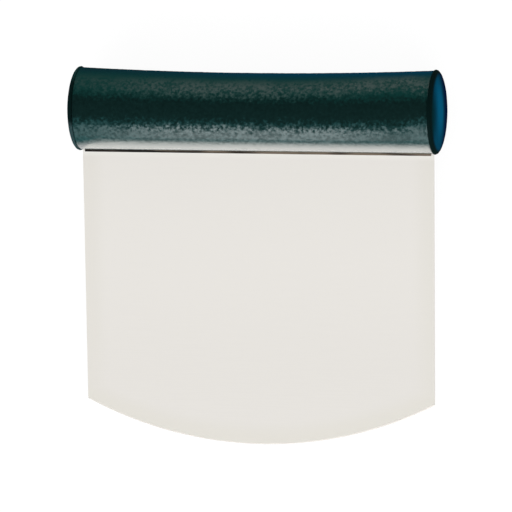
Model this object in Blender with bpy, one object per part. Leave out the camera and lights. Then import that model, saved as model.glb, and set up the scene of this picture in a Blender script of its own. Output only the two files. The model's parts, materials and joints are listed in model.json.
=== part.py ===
"""A dough scraper: a flat steel blade with a bowed lower edge, held in a round, slightly waisted grip.

The scraper lies as it is put down on a table. The rims of its two end caps and the middle of the blade's edge
touch the table at z = 0. X runs along the grip, the grip lies towards +Y, and the blade's front face looks up.

Every piece is drawn in the scraper's own frame, in which the grip's axis is X, the blade hangs along -Y and its
front face looks along +Z. One empty carries that frame and lays it down on the table.
"""

import math

import bmesh
import bpy

MM = 0.001

# The blade: one sheet, a little narrower at the corners than at the grip
BLADE_WIDTH = 120.0 * MM
BLADE_CORNER_WIDTH = 119.0 * MM
BLADE_THICKNESS = 1.0 * MM
BLADE_CORNER_REACH = 98.2 * MM  # from the grip's axis to the line through the two lower corners
BLADE_BOW = 14.4 * MM  # how far the middle of the edge stands below that line
BLADE_CORNER_RADIUS = 0.4 * MM
EDGE_LAND = 0.5 * MM  # thickness that the grinding leaves at the rim
EDGE_BEVEL = 0.3 * MM  # width of the bevel along the working edge
SIDE_BEVEL = 0.12 * MM
BARE_FACE_REACH = 16.5 * MM  # from the grip's axis to where the blade's two faces lie bare
EDGE_STEPS = 64

# The tang: the blade's upper part, which stands inside the grip
SHOULDER_REACH = 11.6 * MM  # from the grip's axis to the blade's shoulders
TANG_WIDTH = 106.0 * MM
TANG_TOP = 2.0 * MM
TANG_CORNER_RADIUS = 1.5 * MM

# The grip sleeve: round at its ends, thinner in the middle, and straight along the blade
SLEEVE_LENGTH = BLADE_WIDTH
SLEEVE_RADIUS = 13.75 * MM
SLEEVE_WAIST = 0.7 * MM  # how much smaller the radius is at mid length
SLEEVE_BORE_RADIUS = 10.3 * MM
SLEEVE_SLOT_WIDTH = 3.4 * MM
SLEEVE_EDGE_RADIUS = 0.35 * MM
SLEEVE_EDGE_STEPS = 3
SLEEVE_STATIONS = 18

# The end caps: a rim, a domed face, and a hollow spigot that goes into the sleeve
CAP_RADIUS = 14.1 * MM
CAP_RIM = 0.3 * MM
CAP_RIM_ROUNDING = 0.2 * MM
CAP_DOME = 2.9 * MM
CAP_DOME_STEPS = 9
CAP_FLOOR = 0.6 * MM  # from the sleeve's end to the floor of the spigot's hollow
SPIGOT_LENGTH = 5.0 * MM
SPIGOT_RADIUS = 10.0 * MM
SPIGOT_WALL = 1.8 * MM
SPIGOT_LEAD = 0.3 * MM  # chamfer that helps the spigot into the sleeve

# The core: a slotted bar that grips the tang
CORE_RADIUS = 10.0 * MM
CORE_LENGTH = 108.0 * MM
CORE_SLOT_TOP = 2.4 * MM

# The pins through the core and the tang
PIN_RADIUS = 1.5 * MM
PIN_LENGTH = 16.0 * MM
PIN_DEPTH = 4.0 * MM  # from the grip's axis towards the blade
PIN_SPACING = 38.0 * MM
PIN_CHAMFER = 0.3 * MM
PIN_HOLE_LENGTH = 30.0 * MM  # more than the core is thick

# The strips that close the slot before and behind the blade
STRIP_LENGTH = 118.0 * MM
STRIP_THICKNESS = 0.6 * MM
STRIP_HEIGHT = 1.9 * MM
STRIP_STANDS_OUT = 0.75 * MM  # past the sleeve, along the blade
STRIP_ROUNDING = 0.2 * MM

CLEARANCE = 0.3 * MM  # between pieces that touch on the real scraper

# How finely round shapes are divided
ROUND_STEPS = 72
CORE_STEPS = 36
PIN_STEPS = 24
CORNER_STEPS = 4
SMALL_CORNER_STEPS = 2
SMOOTH_ANGLE = math.radians(32.0)  # edges sharper than this stay crisp
WELD_DISTANCE = 0.001 * MM

STEEL = dict(colour=(0.78, 0.76, 0.72), metallic=1.0, roughness=0.38)
PIN_STEEL = dict(colour=(0.60, 0.60, 0.61), metallic=1.0, roughness=0.30)
GRAINED_PLASTIC = dict(colour=(0.012, 0.030, 0.028), metallic=0.0, roughness=0.45)
CAP_PLASTIC = dict(colour=(0.002, 0.021, 0.045), metallic=0.0, roughness=0.25)
CORE_PLASTIC = dict(colour=(0.030, 0.032, 0.034), metallic=0.0, roughness=0.60)
SEAL_RUBBER = dict(colour=(0.018, 0.014, 0.011), metallic=0.0, roughness=0.55)


def clear_scene():
    """Removes whatever is in the scene, so that the script can be run again."""
    for thing in list(bpy.data.objects):
        bpy.data.objects.remove(thing, do_unlink=True)


def make_material(name, colour, metallic, roughness):
    """A Principled material of one colour."""
    material = bpy.data.materials.new(name)
    material.use_nodes = True
    shader = material.node_tree.nodes["Principled BSDF"]
    shader.inputs["Base Color"].default_value = (*colour, 1.0)
    shader.inputs["Metallic"].default_value = metallic
    shader.inputs["Roughness"].default_value = roughness
    return material


def finish_mesh(name, shape, finish):
    """Turns a bmesh into a named mesh with outward faces, its own material and smooth rounds."""
    bmesh.ops.recalc_face_normals(shape, faces=shape.faces)
    mesh = bpy.data.meshes.new(name)
    shape.to_mesh(mesh)
    shape.free()
    mesh.materials.append(make_material(name, **finish))
    mesh.shade_smooth()
    mesh.set_sharp_from_angle(angle=SMOOTH_ANGLE)
    return mesh


def place(name, mesh, carrier, location=(0.0, 0.0, 0.0), rotation=(0.0, 0.0, 0.0)):
    """An object of this mesh in the scraper's frame."""
    piece = bpy.data.objects.new(name, mesh)
    bpy.context.scene.collection.objects.link(piece)
    piece.parent = carrier
    piece.location = location
    piece.rotation_euler = rotation
    return piece


def join_loops(shape, loops):
    """Joins closed loops of equally many points with quads, and returns the loops' vertices."""
    rings = [[shape.verts.new(point) for point in loop] for loop in loops]
    for ring, following in zip(rings, rings[1:]):
        for i in range(len(ring)):
            j = (i + 1) % len(ring)
            shape.faces.new((ring[i], ring[j], following[j], following[i]))
    return rings


def loft(loops):
    """A solid through closed loops of equally many points, with a flat face at each end."""
    shape = bmesh.new()
    rings = join_loops(shape, loops)
    shape.faces.new(rings[0])
    shape.faces.new(rings[-1])
    return shape


def lathe(profile, steps):
    """Turns a profile of (x, radius) points, from axis to axis, about X."""
    shape = bmesh.new()
    points = [shape.verts.new((x, radius, 0.0)) for x, radius in profile]
    edges = [shape.edges.new(pair) for pair in zip(points, points[1:])]
    bmesh.ops.spin(
        shape,
        geom=points + edges,
        cent=(0.0, 0.0, 0.0),
        axis=(1.0, 0.0, 0.0),
        angle=2.0 * math.pi,
        steps=steps,
        use_merge=True,
    )
    bmesh.ops.remove_doubles(shape, verts=shape.verts, dist=WELD_DISTANCE)
    return shape


def fillet(before, corner, after, radius, steps):
    """Points of an arc that rounds the corner between two straight lines of a plane outline."""
    ax, ay = before[0] - corner[0], before[1] - corner[1]
    bx, by = after[0] - corner[0], after[1] - corner[1]
    a_length, b_length = math.hypot(ax, ay), math.hypot(bx, by)
    ax, ay, bx, by = ax / a_length, ay / a_length, bx / b_length, by / b_length
    half_angle = math.acos(ax * bx + ay * by) / 2.0
    middle_x, middle_y = ax + bx, ay + by
    middle_length = math.hypot(middle_x, middle_y)
    reach = radius / math.sin(half_angle)
    centre_x = corner[0] + reach * middle_x / middle_length
    centre_y = corner[1] + reach * middle_y / middle_length
    tangent = radius / math.tan(half_angle)
    start = math.atan2(corner[1] + tangent * ay - centre_y, corner[0] + tangent * ax - centre_x)
    end = math.atan2(corner[1] + tangent * by - centre_y, corner[0] + tangent * bx - centre_x)
    sweep = (end - start + math.pi) % (2.0 * math.pi) - math.pi
    angles = [start + sweep * i / steps for i in range(steps + 1)]
    return [(centre_x + radius * math.cos(t), centre_y + radius * math.sin(t)) for t in angles]


def edge_radius():
    """Radius of the arc through the two lower corners and the lowest point of the edge."""
    half = BLADE_CORNER_WIDTH / 2.0
    return (half**2 + BLADE_BOW**2) / (2.0 * BLADE_BOW)


def blade_outline(edge_inset, side_inset):
    """The blade and its tang seen from the front, drawn in from the edge and the sides by the insets."""
    radius = edge_radius()
    centre_y = radius - BLADE_BOW - BLADE_CORNER_REACH
    arc_radius = radius - edge_inset
    corner_x = BLADE_CORNER_WIDTH / 2.0 - side_inset
    reach = math.asin(corner_x / arc_radius)
    angles = [reach - 2.0 * reach * i / EDGE_STEPS for i in range(EDGE_STEPS + 1)]
    edge = [(arc_radius * math.sin(t), centre_y - arc_radius * math.cos(t)) for t in angles]

    shoulder_x = BLADE_WIDTH / 2.0 - side_inset
    shoulder_y = -SHOULDER_REACH - side_inset
    tang_x = TANG_WIDTH / 2.0 - side_inset
    tang_y = TANG_TOP - side_inset
    left_shoulder, right_shoulder = (-shoulder_x, shoulder_y), (shoulder_x, shoulder_y)
    left_root, right_root = (-tang_x, shoulder_y), (tang_x, shoulder_y)
    left_top, right_top = (-tang_x, tang_y), (tang_x, tang_y)

    outline = fillet(right_shoulder, edge[0], edge[1], BLADE_CORNER_RADIUS, CORNER_STEPS) + edge[2:-2]
    outline += fillet(edge[-2], edge[-1], left_shoulder, BLADE_CORNER_RADIUS, CORNER_STEPS)
    outline += [left_shoulder, left_root]
    outline += fillet(left_root, left_top, right_top, TANG_CORNER_RADIUS, CORNER_STEPS)
    outline += fillet(left_top, right_top, right_root, TANG_CORNER_RADIUS, CORNER_STEPS)
    outline += [right_root, right_shoulder]
    return outline


def pin_positions():
    """The middles of the three pins."""
    return [(step * PIN_SPACING, -PIN_DEPTH, 0.0) for step in (-1, 0, 1)]


def make_pin_hole_cutter(carrier):
    """Three rods through the core and the tang, a clearance wider than the pins."""
    shape = bmesh.new()
    for position in pin_positions():
        rod = bmesh.ops.create_cone(
            shape,
            cap_ends=True,
            segments=PIN_STEPS,
            radius1=PIN_RADIUS + CLEARANCE,
            radius2=PIN_RADIUS + CLEARANCE,
            depth=PIN_HOLE_LENGTH,
        )
        bmesh.ops.translate(shape, verts=rod["verts"], vec=position)
    cutter = place("pin_hole_cutter", finish_mesh("pin_hole_cutter", shape, PIN_STEEL), carrier)
    cutter.hide_render = True
    cutter.display_type = "WIRE"
    return cutter


def cut(piece, cutter):
    """Takes the cutter's shape out of the piece."""
    boolean = piece.modifiers.new("pin_holes", "BOOLEAN")
    boolean.operation = "DIFFERENCE"
    boolean.solver = "EXACT"
    boolean.object = cutter


def divide_across(shape, reach):
    """Divides the faces along a line across the blade, at this distance from the grip's axis."""
    everything = shape.verts[:] + shape.edges[:] + shape.faces[:]
    line = (0.0, -reach, 0.0)
    bmesh.ops.bisect_plane(shape, geom=everything, dist=WELD_DISTANCE, plane_co=line, plane_no=(0.0, 1.0, 0.0))


def make_blade(carrier, pin_hole_cutter):
    """The sheet, with a bevel ground on both faces along the working edge.

    A line across both faces parts the bare blade, which can lie against something, from what the grip covers.
    """
    face, rim = BLADE_THICKNESS / 2.0, EDGE_LAND / 2.0
    levels = [(-face, EDGE_BEVEL, SIDE_BEVEL), (-rim, 0.0, 0.0), (rim, 0.0, 0.0), (face, EDGE_BEVEL, SIDE_BEVEL)]
    loops = []
    for z, edge_inset, side_inset in levels:
        loops.append([(x, y, z) for x, y in blade_outline(edge_inset, side_inset)])
    shape = loft(loops)
    divide_across(shape, BARE_FACE_REACH)
    blade = place("blade", finish_mesh("blade", shape, STEEL), carrier)
    cut(blade, pin_hole_cutter)


def sleeve_radius(x):
    """The grip swells from its waist to its ends along a shallow arc."""
    return SLEEVE_RADIUS - SLEEVE_WAIST * (1.0 - (2.0 * x / SLEEVE_LENGTH) ** 2)


def slotted_arc(x, radius, centre_y):
    """A circle across the grip at x, open along the slot on its -Y side."""
    lip = math.asin(SLEEVE_SLOT_WIDTH / 2.0 / radius)
    angles = [lip + (2.0 * math.pi - 2.0 * lip) * i / ROUND_STEPS for i in range(ROUND_STEPS + 1)]
    return [(x, centre_y - radius * math.cos(t), radius * math.sin(t)) for t in angles]


def sleeve_stations():
    """Places along the sleeve with the rounding of its end edges: (x, how much smaller the radius is)."""
    rounding = []
    for i in range(SLEEVE_EDGE_STEPS + 1):
        angle = 0.5 * math.pi * i / SLEEVE_EDGE_STEPS
        back = SLEEVE_EDGE_RADIUS * (1.0 - math.sin(angle))
        drop = SLEEVE_EDGE_RADIUS * (1.0 - math.cos(angle))
        rounding.append((SLEEVE_LENGTH / 2.0 - back, drop))
    straight = SLEEVE_LENGTH / 2.0 - SLEEVE_EDGE_RADIUS
    inner = [(-straight + 2.0 * straight * i / SLEEVE_STATIONS, 0.0) for i in range(1, SLEEVE_STATIONS)]
    return [(-x, drop) for x, drop in reversed(rounding)] + inner + rounding


def make_grip_sleeve(carrier):
    """A tube with a slot along it. Its outside is waisted, but keeps straight where the blade leaves it."""
    loops = []
    for x, drop in sleeve_stations():
        full_radius = sleeve_radius(x)
        outside = slotted_arc(x, full_radius - drop, full_radius - SLEEVE_RADIUS)
        inside = slotted_arc(x, SLEEVE_BORE_RADIUS, 0.0)
        loops.append(outside + inside[::-1])
    shape = bmesh.new()
    rings = join_loops(shape, loops)
    for ring in (rings[0], rings[-1]):
        outside, inside = ring[: ROUND_STEPS + 1], ring[: ROUND_STEPS : -1]
        for i in range(ROUND_STEPS):
            shape.faces.new((outside[i], outside[i + 1], inside[i + 1], inside[i]))
    place("grip_sleeve", finish_mesh("grip_sleeve", shape, GRAINED_PLASTIC), carrier)


def cap_profile():
    """The right cap from the floor of its hollow, round the spigot and the rim, to the middle of its dome."""
    bore = SPIGOT_RADIUS - SPIGOT_WALL
    rim_end = CLEARANCE + CAP_RIM
    root, corner, dome_foot = (CLEARANCE, SPIGOT_RADIUS), (CLEARANCE, CAP_RADIUS), (rim_end, CAP_RADIUS)
    profile = [(CAP_FLOOR, 0.0), (CAP_FLOOR, bore), (-SPIGOT_LENGTH, bore)]
    profile += [(-SPIGOT_LENGTH, SPIGOT_RADIUS - SPIGOT_LEAD), (-SPIGOT_LENGTH + SPIGOT_LEAD, SPIGOT_RADIUS), root]
    profile += fillet(root, corner, dome_foot, CAP_RIM_ROUNDING, SMALL_CORNER_STEPS)
    for i in range(CAP_DOME_STEPS):
        angle = 0.5 * math.pi * i / CAP_DOME_STEPS
        profile.append((rim_end + CAP_DOME * math.sin(angle), CAP_RADIUS * math.cos(angle)))
    profile.append((rim_end + CAP_DOME, 0.0))
    return profile


def make_end_caps(carrier):
    """The same moulded cap at each end of the sleeve."""
    mesh = finish_mesh("end_cap", lathe(cap_profile(), ROUND_STEPS), CAP_PLASTIC)
    place("end_cap_right", mesh, carrier, (SLEEVE_LENGTH / 2.0, 0.0, 0.0))
    place("end_cap_left", mesh, carrier, (-SLEEVE_LENGTH / 2.0, 0.0, 0.0), (0.0, 0.0, math.pi))


def make_handle_core(carrier, pin_hole_cutter):
    """A round bar with a slot on its -Y side, in which the tang stands."""
    half_slot = BLADE_THICKNESS / 2.0 + CLEARANCE
    lip = math.asin(half_slot / CORE_RADIUS)
    angles = [lip + (2.0 * math.pi - 2.0 * lip) * i / CORE_STEPS for i in range(CORE_STEPS + 1)]
    section = [(-CORE_RADIUS * math.cos(t), CORE_RADIUS * math.sin(t)) for t in angles]
    section += [(CORE_SLOT_TOP, -half_slot), (CORE_SLOT_TOP, half_slot)]
    loops = [[(x, y, z) for y, z in section] for x in (-CORE_LENGTH / 2.0, CORE_LENGTH / 2.0)]
    core = place("handle_core", finish_mesh("handle_core", loft(loops), CORE_PLASTIC), carrier)
    cut(core, pin_hole_cutter)


def make_tang_pins(carrier):
    """Three pins with broken edges, across the core."""
    half = PIN_LENGTH / 2.0
    flat = PIN_RADIUS - PIN_CHAMFER
    profile = [(-half, 0.0), (-half, flat), (-half + PIN_CHAMFER, PIN_RADIUS)]
    profile += [(half - PIN_CHAMFER, PIN_RADIUS), (half, flat), (half, 0.0)]
    mesh = finish_mesh("tang_pin", lathe(profile, PIN_STEPS), PIN_STEEL)
    for side, position in zip(("left", "middle", "right"), pin_positions()):
        place("tang_pin_" + side, mesh, carrier, position, (0.0, math.pi / 2.0, 0.0))


def make_seal_strips(carrier):
    """A strip on each face of the blade. It fills the slot and stands a little out of the sleeve."""
    lower = -SLEEVE_RADIUS - STRIP_STANDS_OUT
    upper = lower + STRIP_HEIGHT
    inner = BLADE_THICKNESS / 2.0 + CLEARANCE
    outer = inner + STRIP_THICKNESS
    section = [(lower, inner), (upper, inner), (upper, outer)]
    section += fillet((upper, outer), (lower, outer), (lower, inner), STRIP_ROUNDING, SMALL_CORNER_STEPS)
    for face, side in (("front", 1.0), ("back", -1.0)):
        loops = [[(x, y, side * z) for y, z in section] for x in (-STRIP_LENGTH / 2.0, STRIP_LENGTH / 2.0)]
        node = "seal_strip_" + face
        place(node, finish_mesh(node, loft(loops), SEAL_RUBBER), carrier)


def make_carrier():
    """The empty that lays the scraper down, with its middle over the origin.

    The grip's axis is one cap radius above the table. The blade leans down until the lower corner of its back
    bevel touches the table.
    """
    back_reach = BLADE_CORNER_REACH + BLADE_BOW - EDGE_BEVEL
    back_face = BLADE_THICKNESS / 2.0
    lean = math.asin(CAP_RADIUS / math.hypot(back_reach, back_face)) - math.atan2(back_face, back_reach)
    edge_reach = (BLADE_CORNER_REACH + BLADE_BOW) * math.cos(lean) + EDGE_LAND / 2.0 * math.sin(lean)
    carrier = bpy.data.objects.new("scraper_frame", None)
    bpy.context.scene.collection.objects.link(carrier)
    carrier.location = (0.0, (edge_reach - CAP_RADIUS) / 2.0, CAP_RADIUS)
    carrier.rotation_euler = (lean, 0.0, 0.0)
    return carrier


def main():
    clear_scene()
    carrier = make_carrier()
    pin_hole_cutter = make_pin_hole_cutter(carrier)
    make_blade(carrier, pin_hole_cutter)
    make_grip_sleeve(carrier)
    make_end_caps(carrier)
    make_handle_core(carrier, pin_hole_cutter)
    make_tang_pins(carrier)
    make_seal_strips(carrier)


main()
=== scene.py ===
# %% [markdown]
# A dough scraper, dressed for its picture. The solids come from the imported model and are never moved. This
# script gives every piece its finish, makes the grained grip as a finer mesh, and sets up a camera, a pale
# floor and soft light. Each step says first what the real thing is and why it is made this way.

# %% Load the solids
import json
import math

import bpy
from mathutils import Matrix, Vector, noise


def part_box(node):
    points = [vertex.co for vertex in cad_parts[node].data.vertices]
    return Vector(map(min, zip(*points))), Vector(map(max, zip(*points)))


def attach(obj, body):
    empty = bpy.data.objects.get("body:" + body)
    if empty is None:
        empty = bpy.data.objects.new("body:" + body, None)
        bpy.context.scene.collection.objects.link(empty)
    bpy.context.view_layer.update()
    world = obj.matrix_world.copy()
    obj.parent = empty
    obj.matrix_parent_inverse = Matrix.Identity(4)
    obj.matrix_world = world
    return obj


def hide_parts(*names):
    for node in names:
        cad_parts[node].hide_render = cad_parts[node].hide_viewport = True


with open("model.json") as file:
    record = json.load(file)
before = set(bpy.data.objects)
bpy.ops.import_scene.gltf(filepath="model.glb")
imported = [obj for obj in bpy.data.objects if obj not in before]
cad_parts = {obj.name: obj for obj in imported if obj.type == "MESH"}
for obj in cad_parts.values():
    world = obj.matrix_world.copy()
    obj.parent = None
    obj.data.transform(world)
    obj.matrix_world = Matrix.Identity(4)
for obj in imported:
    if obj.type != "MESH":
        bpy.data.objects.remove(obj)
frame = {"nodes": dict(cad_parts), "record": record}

MM = 0.001
DEGREES = 180 / math.pi
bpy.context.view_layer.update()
print("solids:", ", ".join(sorted(frame["nodes"])))

# %% [markdown]
# The scraper lies on the table and leans from its thick grip down to its thin edge, so its blade lies at a
# slant to the room. Every size is easier to think about in the scraper's own frame: X along the grip, the
# blade towards -Y and its front face towards +Z. The blade's front face is one of the model's mounts, and its
# direction gives the lean. The round end caps give the place of the grip's axis.

# %% The scraper's own frame
mounts = {mount["name"]: mount for mount in frame["record"]["mounts"]}
face_axis = Vector(mounts["blade_front"]["axis"])
lean = math.atan2(-face_axis.y, face_axis.z)

cap_low, cap_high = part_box("end_cap_right")
grip_axis = Vector((0.0, (cap_high.y + cap_low.y) / 2, (cap_high.z + cap_low.z) / 2))
to_room = Matrix.Translation(grip_axis) @ Matrix.Rotation(lean, 4, "X")
to_scraper = to_room.inverted()


def points_of(node):
    """The vertices of a solid, in the scraper's own frame."""
    return [to_scraper @ vertex.co for vertex in frame["nodes"][node].data.vertices]


print("lean", round(lean * DEGREES, 3), "degrees")
print("grip's axis", round(grip_axis.z / MM, 3), "mm above the table")

# %% [markdown]
# The picture looks nearly straight down on the blade, from far away, so that the sides of the blade stay
# parallel. The camera starts square above the grip, is turned a little about each axis of the scraper, in
# degrees, and then backs off. A long lens with a far camera gives the flat perspective of a catalogue
# picture.

# %% Camera
CAMERA_YAW = 12.75
CAMERA_PITCH = 7.41
CAMERA_ROLL = 0.70
CAMERA_AIM = Vector((-0.34, -48.58)) * MM
CAMERA_DISTANCE = 2000 * MM
CAMERA_LENS = 422.3

turned = (
    Matrix.Rotation(math.radians(CAMERA_ROLL), 4, "Z")
    @ Matrix.Rotation(math.radians(CAMERA_PITCH), 4, "X")
    @ Matrix.Rotation(math.radians(-CAMERA_YAW), 4, "Y")
)
camera = bpy.data.objects.new("camera", bpy.data.cameras.new("camera"))
camera.data.lens = CAMERA_LENS
camera.data.clip_end = 2 * CAMERA_DISTANCE
camera.matrix_world = to_room @ turned.inverted() @ Matrix.Translation((*CAMERA_AIM, CAMERA_DISTANCE))
bpy.context.scene.collection.objects.link(camera)
bpy.context.scene.camera = camera
print("camera stands at", [round(v / MM) for v in camera.matrix_world.translation], "mm")

# %% [markdown]
# Finishes are worked out by nodes, and wiring those by hand hides the sums. So this small class wraps a
# socket and lets Python's own signs add the Math nodes: 1 - worn adds one that subtracts. Its last two
# methods make the soft-edged masks from which every finish below is built.

# %% Maths on sockets
class Value:
    """One socket of a node tree. Sums on it add the nodes that work them out."""

    def __init__(self, tree, socket):
        self.tree = tree
        self.socket = socket

    def math(self, operation, *others):
        """This value and others through one Math node."""
        return self.tree.math(operation, self, *others)

    def __add__(self, other):
        return self.math("ADD", other)

    def __sub__(self, other):
        return self.math("SUBTRACT", other)

    def __rsub__(self, other):
        return self.tree.math("SUBTRACT", other, self)

    def __mul__(self, other):
        return self.math("MULTIPLY", other)

    def __truediv__(self, other):
        return self.math("DIVIDE", other)

    def __neg__(self):
        return self.math("MULTIPLY", -1.0)

    __radd__ = __add__
    __rmul__ = __mul__

    def size(self):
        """The value without its sign."""
        return self.math("ABSOLUTE")

    def root(self):
        """The square root."""
        return self.math("SQRT")

    def rise(self, low, high):
        """0 up to low, 1 from high on, and a smooth step between."""
        settings = {"interpolation_type": "SMOOTHSTEP"}
        values = {"Value": self, "From Min": low, "From Max": high}
        return self.tree.node("ShaderNodeMapRange", settings, values)

    def hump(self, low, high, edge):
        """1 between low and high, and 0 further out than edge on either side."""
        return self.rise(low - edge, low) * (1 - self.rise(high, high + edge))


print("sums on sockets ready")

# %% [markdown]
# A second class holds a node tree, and one method of it adds any node. The settings come first, because they
# decide which sockets the node shows. Then each socket gets a link or a plain value.

# %% Adding nodes
class Tree:
    """The nodes of one finish."""

    def __init__(self, nodes):
        self.nodes = nodes

    def find(self, sockets, key):
        """The socket in use with this name, or with this number where names repeat."""
        if isinstance(key, int):
            return sockets[key]
        return next(socket for socket in sockets if socket.enabled and socket.name == key)

    def feed(self, socket, value):
        """Links a Value to a socket, or sets the socket to a plain number, colour or vector."""
        if isinstance(value, Value):
            self.nodes.links.new(value.socket, socket)
        elif isinstance(value, tuple) and socket.type == "RGBA":
            socket.default_value = (*value, 1.0)
        else:
            socket.default_value = value

    def node(self, kind, settings=None, values=None, output=0):
        """Adds a node, with its settings first and then its sockets, and returns one output as a Value."""
        made = self.nodes.nodes.new(kind)
        for name, setting in (settings or {}).items():
            setattr(made, name, setting)
        for key, value in (values or {}).items():
            self.feed(self.find(made.inputs, key), value)
        return Value(self, self.find(made.outputs, output))

    def math(self, operation, *values):
        """One Math node on any number of values."""
        return self.node("ShaderNodeMath", {"operation": operation}, dict(enumerate(values)))

    def parts(self, vector):
        """The x, y and z of a vector."""
        split = self.node("ShaderNodeSeparateXYZ", values={"Vector": vector})
        return [Value(self, socket) for socket in split.socket.node.outputs]

    def mix(self, share, first, second):
        """A colour between two, by a share from 0 to 1."""
        values = {"Factor": share, "A": first, "B": second}
        return self.node("ShaderNodeMix", {"data_type": "RGBA"}, values, output="Result")


print("nodes can be added")

# %% [markdown]
# The finishes follow the scraper and not the room: the grip's bands run along it, and the wear follows the
# blade's edge. A CAD piece keeps its place in its vertices, so its object coordinates are the room's. Taking
# off the grip's axis and turning back by the lean gives the scraper's own x, y and z, here in millimetres,
# which keeps the numbers of the finishes easy to read.

# %% A finish and its place on the scraper
class Finish(Tree):
    """A material made of one Principled shader, with the scraper's own coordinates in millimetres."""

    def __init__(self, name, **plain):
        self.material = bpy.data.materials.new(name)
        self.material.use_nodes = True
        super().__init__(self.material.node_tree)
        self.shader = self.nodes.nodes["Principled BSDF"]
        self.set(**plain)

    def set(self, **values):
        """Sets sockets of the shader by name, with an underscore for each space."""
        for name, value in values.items():
            socket = next(s for s in self.shader.inputs if s.name.lower().replace(" ", "_") == name)
            self.feed(socket, value)

    def turn_back(self, vector):
        """A vector of the room as the scraper has it."""
        settings = {"rotation_type": "X_AXIS", "invert": True}
        return self.node("ShaderNodeVectorRotate", settings, {"Vector": vector, "Angle": lean})

    def stretch(self, vector, factors):
        """The vector with each coordinate times its own factor."""
        return self.node("ShaderNodeVectorMath", {"operation": "MULTIPLY"}, {0: vector, 1: factors})

    def place(self):
        """The point on the scraper as one vector."""
        room = self.node("ShaderNodeTexCoord", output="Object")
        settings = {"operation": "SUBTRACT"}
        moved = self.node("ShaderNodeVectorMath", settings, {0: room, 1: tuple(grip_axis)})
        return self.stretch(self.turn_back(moved), (1 / MM, 1 / MM, 1 / MM))

    def facing(self):
        """The way the surface faces, on the scraper."""
        return self.turn_back(self.node("ShaderNodeNewGeometry", output="Normal"))

    def speckle(self, vector, scale, detail=2.0, roughness=0.5):
        """Smooth noise about 0.5, with this many bumps to a millimetre."""
        values = {"Vector": vector, "Scale": scale, "Detail": detail, "Roughness": roughness}
        return self.node("ShaderNodeTexNoise", values=values)

    def bump(self, height, strength, depth):
        """A normal from a height, where depth is the height's full swing in metres."""
        values = {"Height": height, "Strength": strength, "Distance": depth}
        return self.node("ShaderNodeBump", values=values)


print("finishes can be made")

# %% [markdown]
# A solid shows a finish once the finish is the only material of its mesh. Pieces of one kind share theirs.

# %% Dressing a solid
def dress(finish, *nodes):
    """Gives a finish to CAD nodes."""
    for node in nodes:
        mesh = frame["nodes"][node].data
        mesh.materials.clear()
        mesh.materials.append(finish.material)
    print(finish.material.name, "on", ", ".join(nodes))


print("solids can be dressed")

# %% [markdown]
# The blade is a flat sheet with straight sides and a lower edge that bulges in an arc. Its wear follows that
# outline, so the outline's sizes are read from the solid first, in millimetres: half the width, how far the
# edge bulges below its corners, and the arc's radius, which those two give. The front strip's foot says where
# the bare steel begins.

# %% Sizes of the blade, from its solid
NEAR_SIDE = 1.0

blade_points = points_of("blade")
half_width = max(point.x for point in blade_points) / MM
lowest = min(point.y for point in blade_points) / MM
corner = min(point.y for point in blade_points if point.x / MM > half_width - NEAR_SIDE) / MM
bow = corner - lowest
bow_radius = (half_width**2 + bow**2) / (2 * bow)
seal_foot = min(point.y for point in points_of("seal_strip_front")) / MM
print("blade", round(2 * half_width, 1), "mm wide")
print("edge bowed by", round(bow, 2), "mm, on radius", round(bow_radius, 1))

# %% [markdown]
# Four places on the steel look different. A rim along the edge is worn duller, and so, less, are the rims
# along the sides. A narrow line by the seam is brighter, a painted glint. The half towards the grip is a
# little paler, painted light against the grip's shade. The bevel is ground and not polished, so it is
# rougher, and its colour is darker, painted shade along the edge. Distances in millimetres find the first
# three, and the bevel is where the surface turns towards the edge. Each place is a value from 0 to 1.

# %% Places on the blade
WORN_RIM = (2.0, 8.5)
SIDE_WEAR = 0.6
SEAM_GLINT_LINE = (0.0, 2.2)
PALER_PART = (-95, -45)
BEVEL_TURN = (0.15, 0.50)

blade_finish = Finish("blade_steel_satin", metallic=0.9)
place = blade_finish.place()
x, y = blade_finish.parts(place)[:2]
from_centre = y - (lowest + bow_radius)
from_edge = bow_radius - (x * x + from_centre * from_centre).root()
from_side = half_width - x.size()
worn_edge = 1 - from_edge.rise(*WORN_RIM)
worn_side = (1 - from_side.rise(*WORN_RIM)) * SIDE_WEAR
worn = worn_edge.math("MAXIMUM", worn_side)
seam_glint = 1 - (seal_foot - y).rise(*SEAM_GLINT_LINE)
towards_grip = y.rise(*PALER_PART)
ground_and_shade = (-blade_finish.parts(blade_finish.facing())[1]).rise(*BEVEL_TURN)
print("worn rim", WORN_RIM[1], "mm wide, bright line by the seam", SEAM_GLINT_LINE[1], "mm")

# %% [markdown]
# The steel is satin: polished across in fine straight strokes, too fine to see as lines but enough to blur
# what it mirrors. Most of its look is that blur, so it is a metal with a fairly rough surface, slightly warm
# and very even. Noise stretched along the strokes makes them, a slow noise clouds them, and each place then
# turns to a colour of its own: the worn rims duller, and the glint, the paler half and the darker bevel as
# painted light and shade.

# %% Steel of the blade
STROKE_SHAPE = (0.06, 4.0, 4.0)
STROKE_DEPTH = 0.01 * MM
STROKE_STRENGTH = 0.15
CLOUD_SCALE = 0.03
CLOUD_SHARE = 0.25
PALER_SHARE = 0.5
BRIGHT_STROKE = (0.755, 0.732, 0.696)
DULL_STROKE = (0.717, 0.694, 0.658)
CLOUDED_STEEL = (0.712, 0.691, 0.657)
LIT_NEAR_GRIP_STEEL = (0.780, 0.756, 0.718)
WORN_STEEL = (0.714, 0.692, 0.640)
SEAM_GLINT_STEEL = (0.800, 0.785, 0.745)
GROUND_SHADE_STEEL = (0.49, 0.47, 0.44)
STEEL_ROUGHNESS = 0.31
STROKE_ROUGHNESS = 0.08
GROUND_ROUGHNESS = 0.15

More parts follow.
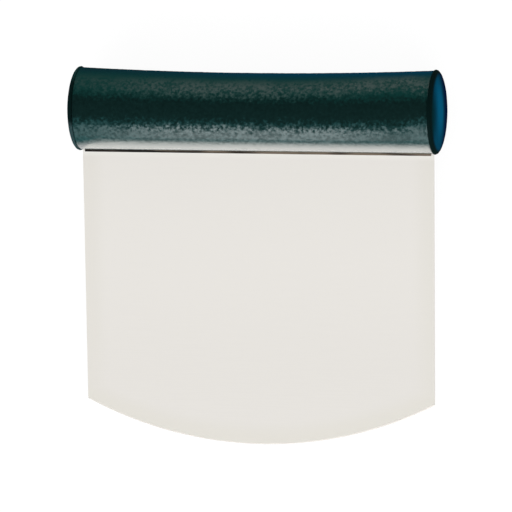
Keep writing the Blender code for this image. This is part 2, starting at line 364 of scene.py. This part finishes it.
strokes = blade_finish.speckle(blade_finish.stretch(place, STROKE_SHAPE), 1.0, detail=3.0)
cloud = blade_finish.speckle(place, CLOUD_SCALE, detail=1.0)
steel = blade_finish.mix(strokes, BRIGHT_STROKE, DULL_STROKE)
steel = blade_finish.mix(cloud * CLOUD_SHARE, steel, CLOUDED_STEEL)
# Painted light: the steel is paler towards the grip, against the shade the grip casts.
steel = blade_finish.mix(towards_grip * PALER_SHARE, steel, LIT_NEAR_GRIP_STEEL)
steel = blade_finish.mix(worn, steel, WORN_STEEL)
# Painted glint: a brighter line along the seam.
steel = blade_finish.mix(seam_glint, steel, SEAM_GLINT_STEEL)
# Painted shade: the bevel's colour is darker. Its extra roughness is the real grinding.
blade_finish.set(
    base_color=blade_finish.mix(ground_and_shade, steel, GROUND_SHADE_STEEL),
    roughness=STEEL_ROUGHNESS + strokes * STROKE_ROUGHNESS + ground_and_shade * GROUND_ROUGHNESS,
    normal=blade_finish.bump(strokes, STROKE_STRENGTH, STROKE_DEPTH),
)
dress(blade_finish, "blade")

# %% [markdown]
# The grip is a moulded sleeve with a fine pebbled grain. Seen from a hand's breadth away, the grain breaks
# the highlights into specks, so it is real relief on a mesh of its own, with about three points to a
# millimetre. That mesh has the same form as the solid that it stands for, and reads its sizes from the
# solid's vertices: the radius at the ends, the waist, the slot and the bore.

# %% Sizes of the grip, from its solid
NEAR_MIDDLE = 1 * MM

sleeve_points = points_of("grip_sleeve")
half_length = max(point.x for point in sleeve_points)
end_radius = max(point.y for point in sleeve_points)
middle_top = max(point.z for point in sleeve_points if abs(point.x) < NEAR_MIDDLE)
waist = end_radius - middle_top
bore_radius = min(math.hypot(point.y, point.z) for point in sleeve_points)
slot_half = min(abs(point.z) for point in sleeve_points if point.y < 0)
print("grip", round(2 * half_length / MM, 2), "mm long, radius", round(end_radius / MM, 2))
print("waist", round(waist / MM, 3), "bore radius", round(bore_radius / MM, 2))
print("half slot", round(slot_half / MM, 2))

# %% [markdown]
# Relief on a round bar is a sum of noises. A coarse one spaces the pebbles, a finer one roughens them, and a
# slow one makes the grain stronger in one patch than in the next, as it is where a mould has worn.

# %% Grain
GRAIN_PITCH = 1.15 * MM
GRAIN_HEIGHT = 0.075 * MM
FINE_PITCH = 0.6 * MM
FINE_HEIGHT = 0.03 * MM
FINE_OFFSET = Vector((31.0, 17.0, 5.0))
PATCH_PITCH = 9 * MM
PATCH_LEVEL = 0.75
PATCH_SWING = 0.5


def grain(point):
    """Height of the grain at a point of the scraper's own frame, in metres."""
    patch = PATCH_LEVEL + PATCH_SWING * noise.noise(point / PATCH_PITCH)
    coarse = noise.noise(point / GRAIN_PITCH)
    fine = noise.noise(point / FINE_PITCH + FINE_OFFSET)
    return patch * (GRAIN_HEIGHT * coarse + FINE_HEIGHT * fine)


print("grain up to", round((GRAIN_HEIGHT + FINE_HEIGHT) / MM, 3), "mm high")

# %% [markdown]
# A ring of the sleeve runs round the outside from one lip of the slot to the other, and back through the
# bore. The outside's circle shrinks towards the waist and moves with it, so that the side along the blade
# stays straight. The last fraction of a millimetre at each end rounds over. The grain fades there, and also
# towards the blade, where the mould was smooth.

# %% One ring of the sleeve
OUTSIDE_STEPS = 228
BORE_STEPS = 40
EDGE_RADIUS = 0.15 * MM
END_REACH = 0.25 * MM
SMOOTH_FROM = -8.0 * MM
SMOOTH_TO = -9.6 * MM

reach = half_length + END_REACH


def smooth_step(value, low, high):
    """0 up to low, 1 from high on, and a smooth step between."""
    share = min(1.0, max(0.0, (value - low) / (high - low)))
    return share * share * (3 - 2 * share)


def sleeve_radius(x):
    """Radius of the outside at x: it swells from the waist to the ends along a shallow arc."""
    return end_radius - waist * (1 - (x / half_length) ** 2)


def slotted_arc(radius, steps):
    """Points (y, z) of a circle that is open along the slot."""
    lip = math.asin(slot_half / radius)
    angles = [lip + (2 * math.pi - 2 * lip) * i / steps for i in range(steps + 1)]
    return [(-radius * math.cos(angle), radius * math.sin(angle)) for angle in angles]


def sleeve_ring(x):
    """One ring of the sleeve, in the scraper's own frame."""
    radius = sleeve_radius(x)
    shift = radius - end_radius
    into_edge = max(0.0, abs(x) - (reach - EDGE_RADIUS))
    drop = EDGE_RADIUS - math.sqrt(max(0.0, EDGE_RADIUS**2 - into_edge**2))
    ring = []
    for y, z in slotted_arc(radius - drop, OUTSIDE_STEPS):
        point = Vector((x, y + shift, z))
        calm = smooth_step(point.y, SMOOTH_TO, SMOOTH_FROM) * (1 - smooth_step(into_edge, 0.0, EDGE_RADIUS))
        outward = Vector((0.0, y, z)).normalized()
        ring.append(point + outward * grain(point) * calm)
    ring += [Vector((x, y, z)) for y, z in reversed(slotted_arc(bore_radius, BORE_STEPS))]
    return ring


print("a ring has", len(sleeve_ring(0.0)), "points")

# %% [markdown]
# The sleeve is a row of such rings, joined by four-sided faces and closed by one face at each end. It takes
# the solid's place. Its ends reach a quarter of a millimetre past the solid's, almost to the caps, because on
# the real scraper they touch.

# %% Grained sleeve
STATION_STEP = 0.36 * MM
CRISP_ANGLE = math.radians(50)


def make_sleeve():
    """The whole sleeve as one closed mesh, in the room."""
    stations = round(2 * reach / STATION_STEP)
    rings = [sleeve_ring(reach * (2 * i / stations - 1)) for i in range(stations + 1)]
    count = len(rings[0])
    points = [to_room @ point for ring in rings for point in ring]
    faces = []
    for i in range(stations):
        for j in range(count):
            k = (j + 1) % count
            faces.append((i * count + j, (i + 1) * count + j, (i + 1) * count + k, i * count + k))
    faces.append(tuple(range(count)))
    faces.append(tuple(reversed(range(stations * count, (stations + 1) * count))))
    mesh = bpy.data.meshes.new("grained_sleeve")
    mesh.from_pydata(points, [], faces)
    mesh.shade_smooth()
    mesh.set_sharp_from_angle(angle=CRISP_ANGLE)
    piece = bpy.data.objects.new("grained_sleeve", mesh)
    bpy.context.scene.collection.objects.link(piece)
    return piece


sleeve = make_sleeve()
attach(sleeve, "root")
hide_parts("grip_sleeve")
print("sleeve", len(sleeve.data.vertices), "points")

# %% [markdown]
# What the grip looks like at a point depends on where that point lies round the axis. The angle round it is 0
# on the crest, 90 towards the palm and -90 towards the blade, on the front and on the back alike. The waist
# moves the middle of each ring towards the blade, and the angle is taken from that middle. The place along
# the grip runs from -1 at the left end to 1 at the right.

# %% Where a point lies on the grip
grip_finish = Finish("grip_plastic_grained", specular_ior_level=0.0, coat_ior=2.0, coat_roughness=0.2)
place = grip_finish.place()
x, y, z = grip_finish.parts(place)
along = x / (half_length / MM)
sunk = (1 - along * along) * (waist / MM)
around = (y + sunk).math("ARCTAN2", z.size()) * DEGREES
print("grip measured round and along")

# %% [markdown]
# In colour, too, the grain is pebbles. A Voronoi texture gives each one shade for the whole pebble, and
# smooth noise bends and breaks their outlines, because clean cells would look like scales. A slow noise then
# makes whole patches of them paler. The relief alone can't show this: a pebble is only two or three pixels
# wide in the picture.

# %% Pebbles
MOTTLE = {"scale": 0.9, "detail": 3.0, "roughness": 0.6}
PATCH_SCALE = 0.15
PEBBLE_SCALE = 1.25
PEBBLE_SHARE = 0.22
PATCH_SHARE = 0.4
SPECK_EDGES = (-0.2, 0.2)

mottle = grip_finish.speckle(place, **MOTTLE)
patches = grip_finish.speckle(place, PATCH_SCALE, detail=2.0)
bent = grip_finish.node("ShaderNodeVectorMath", {"operation": "ADD"}, {0: place, 1: mottle})
cells = {"Vector": bent, "Scale": PEBBLE_SCALE}
pebble_shades = grip_finish.node("ShaderNodeTexVoronoi", values=cells, output="Color")
pebble = grip_finish.parts(pebble_shades)[0]
grainy = (pebble - 0.5) * PEBBLE_SHARE + (mottle - 0.5)
specks = (grainy + (patches - 0.5) * PATCH_SHARE).rise(*SPECK_EDGES)
print("pebbles about", round(1 / PEBBLE_SCALE, 1), "mm wide")

# %% [markdown]
# The grip's shades lie in bands along it, each between two angles. From the crest, which is nearly black,
# they turn to a lighter green on both flanks, which is painted light, and then to blue on the palm's edge. A
# paler band on the palm's flank is a painted highlight, which turns a few degrees towards the palm at the
# ends and is fainter on the left. The grain scatters the edges of the bands by up to so many degrees.

# %% Bands of colour
PALM_FLANK = (17, 37)
BLADE_FLANK = (4, 22)
PALM_EDGE = (54, 84)
HIGHLIGHT_BAND = (42, 47, 19)
PALM_SCATTER = 24
BLADE_SCATTER = 30
BY_CAP = (0.85, 1.0)
BY_CAP_TURN = 8
HIGHLIGHT_BEND = 5
HIGHLIGHT_LIFT = 7
HIGHLIGHT_LIFT_PART = (0.2, 1.0)
OUTER_PART = (0.3, 1.0)
HIGHLIGHT_LOSS = 0.7

by_cap = along.rise(*BY_CAP) * BY_CAP_TURN
raised = around - along * along * HIGHLIGHT_BEND - along.rise(*HIGHLIGHT_LIFT_PART) * HIGHLIGHT_LIFT + by_cap
blade_turn = grainy * BLADE_SCATTER - around + by_cap
palm_flank = (around + grainy * PALM_SCATTER).rise(*PALM_FLANK)
blade_flank = blade_turn.rise(*BLADE_FLANK)
palm_edge = around.rise(*PALM_EDGE)
# Painted highlight: a paler band on the palm's flank.
painted_highlight = (raised + grainy * PALM_SCATTER).hump(*HIGHLIGHT_BAND) * (1 - (-along).rise(*OUTER_PART) * HIGHLIGHT_LOSS)
print("green from", PALM_FLANK, "degrees on the palm's side and from", BLADE_FLANK, "on the blade's")

# %% [markdown]
# Along the blade runs a strip where the plastic is smooth and glossy. Its pale colour is a painted reflection
# of the blade, palest by the seam. It is rounded off at its left end and follows the waist. The last few
# degrees before the seam lie in the shade. The half of the grip that faces the table counts as underneath.

# %% The smooth strip along the blade
STRIP = (38.2, 54)
STRIP_SCATTER = 7
STRIP_TILT = 1.5
STRIP_WAIST_TURN = 1.5
STRIP_END_TURN = 9
REFLECTION_FOOT = (50, 66)
STRIP_SHADE = (74, 82)
UNDERNEATH = (-0.5, 5.0)

by_left_end = (-along).rise(*BY_CAP) * STRIP_END_TURN
moved_turn = -around - along * STRIP_TILT - sunk * STRIP_WAIST_TURN - by_left_end
strip = (moved_turn + grainy * STRIP_SCATTER).rise(*STRIP)
reflection_foot = (-around).rise(*REFLECTION_FOOT)
in_shade = (-around).rise(*STRIP_SHADE)
underneath = (-z).rise(*UNDERNEATH)
print("smooth strip full from", STRIP[1], "degrees towards the blade")

# %% [markdown]
# The colours go on from the crest outwards, each over the last by its band: the greens of painted light, the
# blue, the painted highlight on the tops of the pebbles, and the pale strip of painted reflection.

# %% Colours of the grip
CREST = ((0.0020, 0.0075, 0.0070), (0.0054, 0.0195, 0.0185))
PALM_LIT_GREEN = (0.0046, 0.0350, 0.0312)
BLADE_LIT_GREEN = (0.0100, 0.0450, 0.0460)
BLADE_LIT_LEAST = 0.5
PALM_BLUE = ((0.0040, 0.0230, 0.0290), (0.0020, 0.0330, 0.0620))
PALM_BLUE_PART = (-1.0, 0.4)
HIGHLIGHT_PALE = (0.060, 0.085, 0.080)
HIGHLIGHT_LEAST = 0.1
HIGHLIGHT_ON_SPECKS = 0.7
STRIP_REFLECTION_COLOURS = ((0.064, 0.083, 0.080), (0.110, 0.122, 0.120))
SHADE_LOSS = 0.8

crest = grip_finish.mix(mottle, *CREST)
# Painted light: the flanks are a lighter green where the lamps catch them.
flanks = grip_finish.mix(palm_flank, crest, PALM_LIT_GREEN)
# Painted light on the specks of the blade's flank.
blade_flank_lit = blade_flank * (BLADE_LIT_LEAST + specks * (1 - BLADE_LIT_LEAST))
flanks = grip_finish.mix(blade_flank_lit, flanks, BLADE_LIT_GREEN)
palm_blue = grip_finish.mix(along.rise(*PALM_BLUE_PART), *PALM_BLUE)
flanks = grip_finish.mix(palm_edge, flanks, palm_blue)
# The painted highlight band, strongest on the specks.
flanks = grip_finish.mix(painted_highlight * (HIGHLIGHT_LEAST + specks * HIGHLIGHT_ON_SPECKS), flanks, HIGHLIGHT_PALE)
# Painted reflection of the blade, palest by the seam and fading in the shade.
painted_reflection = grip_finish.mix(reflection_foot, *STRIP_REFLECTION_COLOURS)
grip_colour = grip_finish.mix(strip * (1 - in_shade * SHADE_LOSS), flanks, painted_reflection)
print("colours of the grip mixed")

# %% [markdown]
# Handling leaves the plastic shinier in some places than in others. The shine is a clear coat over a dull
# base, because a coat's weight may change over the surface: none on the palm's side, specks of it on the
# blade's flank, most of them in the middle of the grip and more even lower down, and a full one along the
# blade. Underneath it is even. Smooth plastic mirrors far more at a glancing angle, so the strip's gloss
# grows with that angle. Otherwise the strip would look like bare metal to someone who faces it.

# %% Gloss of the grip
LIT_BAND = (12, 25)
HANDLING_LOSS = 0.65
HANDLING_TILT = 0.12
SMOOTHER_BAND = (20, 34)
SMOOTHER_SHARE = 0.45
SMOOTHER_LEVEL = 0.65
LIT_LEAST = 0.088
LIT_ON_SPECKS = 0.395
GLANCING = (0.10, 0.32)
HEAD_ON_SHARE = 0.25
STRIP_LEAST = 0.88
SHADE_DULLING = 0.7
UNDERNEATH_GLOSS = 0.3

handled = 1 - along.size().rise(*OUTER_PART) * (HANDLING_LOSS - along * HANDLING_TILT)
smoother = (-around).rise(*SMOOTHER_BAND) * SMOOTHER_SHARE
even = specks * (1 - smoother) + smoother * SMOOTHER_LEVEL
lit_gloss = (1 - strip) * blade_turn.rise(*LIT_BAND) * handled * (LIT_LEAST + even * LIT_ON_SPECKS)
facing_away = grip_finish.node("ShaderNodeLayerWeight", values={"Blend": 0.5}, output="Facing")
glancing = HEAD_ON_SHARE + facing_away.rise(*GLANCING) * (1 - HEAD_ON_SHARE)
strip_gloss = strip * (STRIP_LEAST + specks * (1 - STRIP_LEAST)) * glancing
gloss = (strip_gloss + lit_gloss) * (1 - in_shade * SHADE_DULLING)
print("strip's gloss from", HEAD_ON_SHARE, "head-on to 1 at a glancing angle")

# %% [markdown]
# The base stays dull, a little more so in some specks than in others, and the same mottle gives it a bump
# that is finer than the mesh can carry.

# %% Grip finish
GRIP_ROUGHNESS = 0.45
MOTTLE_ROUGHNESS = 0.2
MOTTLE_STRENGTH = 0.6
MOTTLE_DEPTH = 0.10 * MM

grip_finish.set(
    base_color=grip_colour,
    roughness=GRIP_ROUGHNESS + mottle * MOTTLE_ROUGHNESS,
    coat_weight=gloss * (1 - underneath) + underneath * UNDERNEATH_GLOSS,
    normal=grip_finish.bump(mottle, MOTTLE_STRENGTH, MOTTLE_DEPTH),
)
sleeve.data.materials.append(grip_finish.material)
print(grip_finish.material.name, "on", sleeve.name)

# %% [markdown]
# The end caps are smooth mouldings of the same family of plastic. The domed face is deep blue, with painted
# light in a wide patch a little above its middle, and painted shade near its top and towards the table.
# Distances on the face, in millimetres, place the patch and the dark parts.

# %% Faces of the end caps
GLOW_MIDDLE_Y = 2.0
GLOW_MIDDLE_Z = 5.0
GLOW_WIDENING = 2.4
GLOW_EDGES = (1.5, 5.5)
FRONT_PART = (8.5, 12.5)
LOWER_PART = (-3.0, 3.0)
FACE_BLUE = (0.0004, 0.0380, 0.0740)
LIT_PATCH_BLUE = (0.0004, 0.0720, 0.1450)
SHADED_LOWER_BLUE = (0.0004, 0.0060, 0.0280)
SHADED_FRONT_GREEN = (0.0010, 0.0170, 0.0220)

cap_finish = Finish("cap_plastic_smooth", specular_ior_level=0.0, roughness=0.4)
cap_finish.set(coat_ior=1.5, coat_roughness=0.1)
place = cap_finish.place()
x, y, z = cap_finish.parts(place)
glow_y = (y - GLOW_MIDDLE_Y) / GLOW_WIDENING
glow_z = z - GLOW_MIDDLE_Z
glow = 1 - (glow_y * glow_y + glow_z * glow_z).root().rise(*GLOW_EDGES)
below = 1 - z.rise(*LOWER_PART)
# Painted light: a lit patch on the face.
face = cap_finish.mix(glow, FACE_BLUE, LIT_PATCH_BLUE)
# Painted shade towards the table.
face = cap_finish.mix(below, face, SHADED_LOWER_BLUE)
# Painted shade near the top of the face.
face = cap_finish.mix(z.rise(*FRONT_PART), face, SHADED_FRONT_GREEN)
print("glow", GLOW_MIDDLE_Z, "mm in front of the grip's axis")

# %% [markdown]
# The rims are nearly black. The left one is seen edge-on beside the sleeve and carries on the sleeve's
# painted
# light: green on the palm's side and paler, mottled plastic on the blade's. The clear coat is kept very thin,
# and thinnest below, because the real caps mirror hardly anything.

# %% Rims of the end caps
RIM = (12.0, 13.4)
LEFT_CAP = (-1.0, 1.0)
RIM_PALM_SIDE = (48, 68)
RIM_PALM_SCATTER = 16
RIM_BLADE_SIDE = (22, 36)
RIM_BLADE_SCATTER = 24
RIM_BLACK = (0.0020, 0.0075, 0.0072)
RIM_LIT_GREEN = (0.0070, 0.0300, 0.0290)
RIM_LIT_MOTTLE = ((0.010, 0.032, 0.036), (0.030, 0.052, 0.054))
CAP_GLOSS = 0.008
CAP_DULLING = 0.005

rim = (y * y + z * z).root().rise(*RIM)
around = y.math("ARCTAN2", z.size()) * DEGREES
mottle = cap_finish.speckle(place, **MOTTLE)
left = 1 - x.rise(*LEFT_CAP)
palm_side = left * (around + mottle * RIM_PALM_SCATTER).rise(*RIM_PALM_SIDE)
blade_side = left * (mottle * RIM_BLADE_SCATTER - around).rise(*RIM_BLADE_SIDE)
# Painted light on the left rim, carried on from the sleeve.
rims = cap_finish.mix(palm_side, RIM_BLACK, RIM_LIT_GREEN)
rims = cap_finish.mix(blade_side, rims, cap_finish.mix(mottle, *RIM_LIT_MOTTLE))
cap_finish.set(
    base_color=cap_finish.mix(rim, face, rims),
    coat_weight=CAP_GLOSS - below * CAP_DULLING,
)
dress(cap_finish, "end_cap_left", "end_cap_right")

# %% [markdown]
# Two dark strips close the slot beside the blade. They are soft and dull, and browner in long streaks, more
# so towards the right.

# %% Seal strips
STREAK_SHAPE = (0.08, 0.8, 0.8)
BROWNER_PART = (-50, 10)
BROWNER_SHARE = 0.3
STREAK_EDGES = (0.5, 0.9)
SEAL_BLACK = (0.010, 0.0085, 0.007)
SEAL_BROWN = (0.150, 0.120, 0.090)
SEAL_ROUGHNESS = 0.55
STREAK_ROUGHNESS = 0.2

seal_finish = Finish("seal_rubber_dull", specular_ior_level=0.1)
place = seal_finish.place()
x = seal_finish.parts(place)[0]
streaks = seal_finish.speckle(seal_finish.stretch(place, STREAK_SHAPE), 1.0, detail=2.0)
browner = (streaks + x.rise(*BROWNER_PART) * BROWNER_SHARE).rise(*STREAK_EDGES)
seal_finish.set(
    base_color=seal_finish.mix(browner, SEAL_BLACK, SEAL_BROWN),
    roughness=SEAL_ROUGHNESS + streaks * STREAK_ROUGHNESS,
)
dress(seal_finish, "seal_strip_front", "seal_strip_back")

# %% [markdown]
# The core and its pins are hidden inside. They still get their own finishes, because the model can be taken
# apart: dull moulded plastic with faint flow marks, and drawn steel with fine lines along each pin. Both are
# one long noise between two shades, so one function makes them.

# %% Core and pins
def streaky(name, shape, detail, shades, roughness, swing, **plain):
    """A finish of streaks between two shades, rougher by up to swing along some of them."""
    finish = Finish(name, **plain)
    streaks = finish.speckle(finish.stretch(finish.place(), shape), 1.0, detail=detail)
    finish.set(base_color=finish.mix(streaks, *shades), roughness=roughness + streaks * swing)
    return finish


FLOW_SHAPE = (0.15, 0.6, 0.6)
FLOW_SHADES = ((0.022, 0.024, 0.026), (0.040, 0.042, 0.044))
DRAWN_SHAPE = (8.0, 8.0, 0.3)
DRAWN_SHADES = ((0.52, 0.52, 0.53), (0.66, 0.66, 0.67))

core_finish = streaky("core_plastic_dull", FLOW_SHAPE, 3.0, FLOW_SHADES, 0.5, 0.2)
pin_finish = streaky("pin_steel_drawn", DRAWN_SHAPE, 2.0, DRAWN_SHADES, 0.22, 0.12, metallic=1.0)
dress(core_finish, "handle_core")
dress(pin_finish, "tang_pin_left", "tang_pin_middle", "tang_pin_right")

# %% [markdown]
# The table is plain white. To the camera and to mirrors it is mostly a light of its own, so that it is white
# all over, and the part that the room lights keeps the scraper's soft shadow. To the rest of the scene it is
# an ordinary pale surface.

# %% Floor
FLOOR_SIZE = 12.0
FLOOR_GLOW = 0.92
WHITE = (1.0, 1.0, 1.0)
PALE = (0.8, 0.8, 0.8)
SHADED = (0.10, 0.10, 0.10)

floor_mesh = bpy.data.meshes.new("floor")
edge = FLOOR_SIZE / 2
floor_corners = [(-edge, -edge, 0), (edge, -edge, 0), (edge, edge, 0), (-edge, edge, 0)]
floor_mesh.from_pydata(floor_corners, [], [(0, 1, 2, 3)])
floor = bpy.data.objects.new("floor", floor_mesh)
bpy.context.scene.collection.objects.link(floor)

floor_material = bpy.data.materials.new("floor_white")
floor_material.use_nodes = True
floor_tree = Tree(floor_material.node_tree)
floor_tree.nodes.nodes.remove(floor_tree.nodes.nodes["Principled BSDF"])
seen = floor_tree.node("ShaderNodeLightPath", output="Is Camera Ray")
mirrored = floor_tree.node("ShaderNodeLightPath", output="Is Glossy Ray")
pale = floor_tree.node("ShaderNodeBsdfDiffuse", values={"Color": PALE})
shaded = floor_tree.node("ShaderNodeBsdfDiffuse", values={"Color": SHADED})
glow = floor_tree.node("ShaderNodeEmission", values={"Color": WHITE, "Strength": FLOOR_GLOW})
white = floor_tree.node("ShaderNodeAddShader", values={0: glow, 1: shaded})
shown = floor_tree.node("ShaderNodeMixShader", values={0: seen.math("MAXIMUM", mirrored), 1: pale, 2: white})
floor_tree.feed(floor_tree.nodes.nodes["Material Output"].inputs["Surface"], shown)
floor_mesh.materials.append(floor_material)
print("floor ready")

# %% [markdown]
# The light is a studio tent, painted on the world by direction: an even glow all round, a panel overhead, a
# bright long window low on the blade's side and a weaker one on the palm's. Light from so far away falls
# evenly on the whole table. The first numbers are strengths, the heights and the width are in degrees, and
# the last pair is how softly the two sides meet. The camera sees plain white past the floor's end.

# %% Light
TENT = 0.45
PANEL = 0.50
BLADE_WINDOW = 3.1
PALM_WINDOW = 1.3
PANEL_HEIGHT = (45, 65)
BLADE_WINDOW_HEIGHT = (0, 34, 26)
PALM_WINDOW_HEIGHT = (8, 26, 16)
WINDOW_WIDTH = (-48, 48, 14)
SIDES_MEET = (-0.05, 0.05)

world = bpy.data.worlds.new("studio")
world.use_nodes = True
bpy.context.scene.world = world
sky = Tree(world.node_tree)
east, north, up = sky.parts(sky.node("ShaderNodeTexCoord", output="Generated"))
height = up.math("ARCSINE") * DEGREES
aside = east.math("ARCTAN2", north.size()) * DEGREES
beside = aside.hump(*WINDOW_WIDTH)
blade_half = 1 - north.rise(*SIDES_MEET)
panel = height.rise(*PANEL_HEIGHT) * PANEL
blade_window = beside * blade_half * height.hump(*BLADE_WINDOW_HEIGHT) * BLADE_WINDOW
palm_window = beside * (1 - blade_half) * height.hump(*PALM_WINDOW_HEIGHT) * PALM_WINDOW
seen = sky.node("ShaderNodeLightPath", output="Is Camera Ray")
strength = (panel + blade_window + palm_window + TENT) * (1 - seen) + seen
background = sky.nodes.nodes["Background"]
sky.feed(background.inputs["Color"], WHITE)
sky.feed(background.inputs["Strength"], strength)
print("light ready")

# %% [markdown]
# The colours are shown as they are written, with the Standard view. Every solid is then checked for a
# finish.

# %% Picture settings and a check for finishes
bpy.context.scene.view_settings.view_transform = "Standard"

for name, node in frame["nodes"].items():
    if not node.data.materials:
        print("no finish on", name)
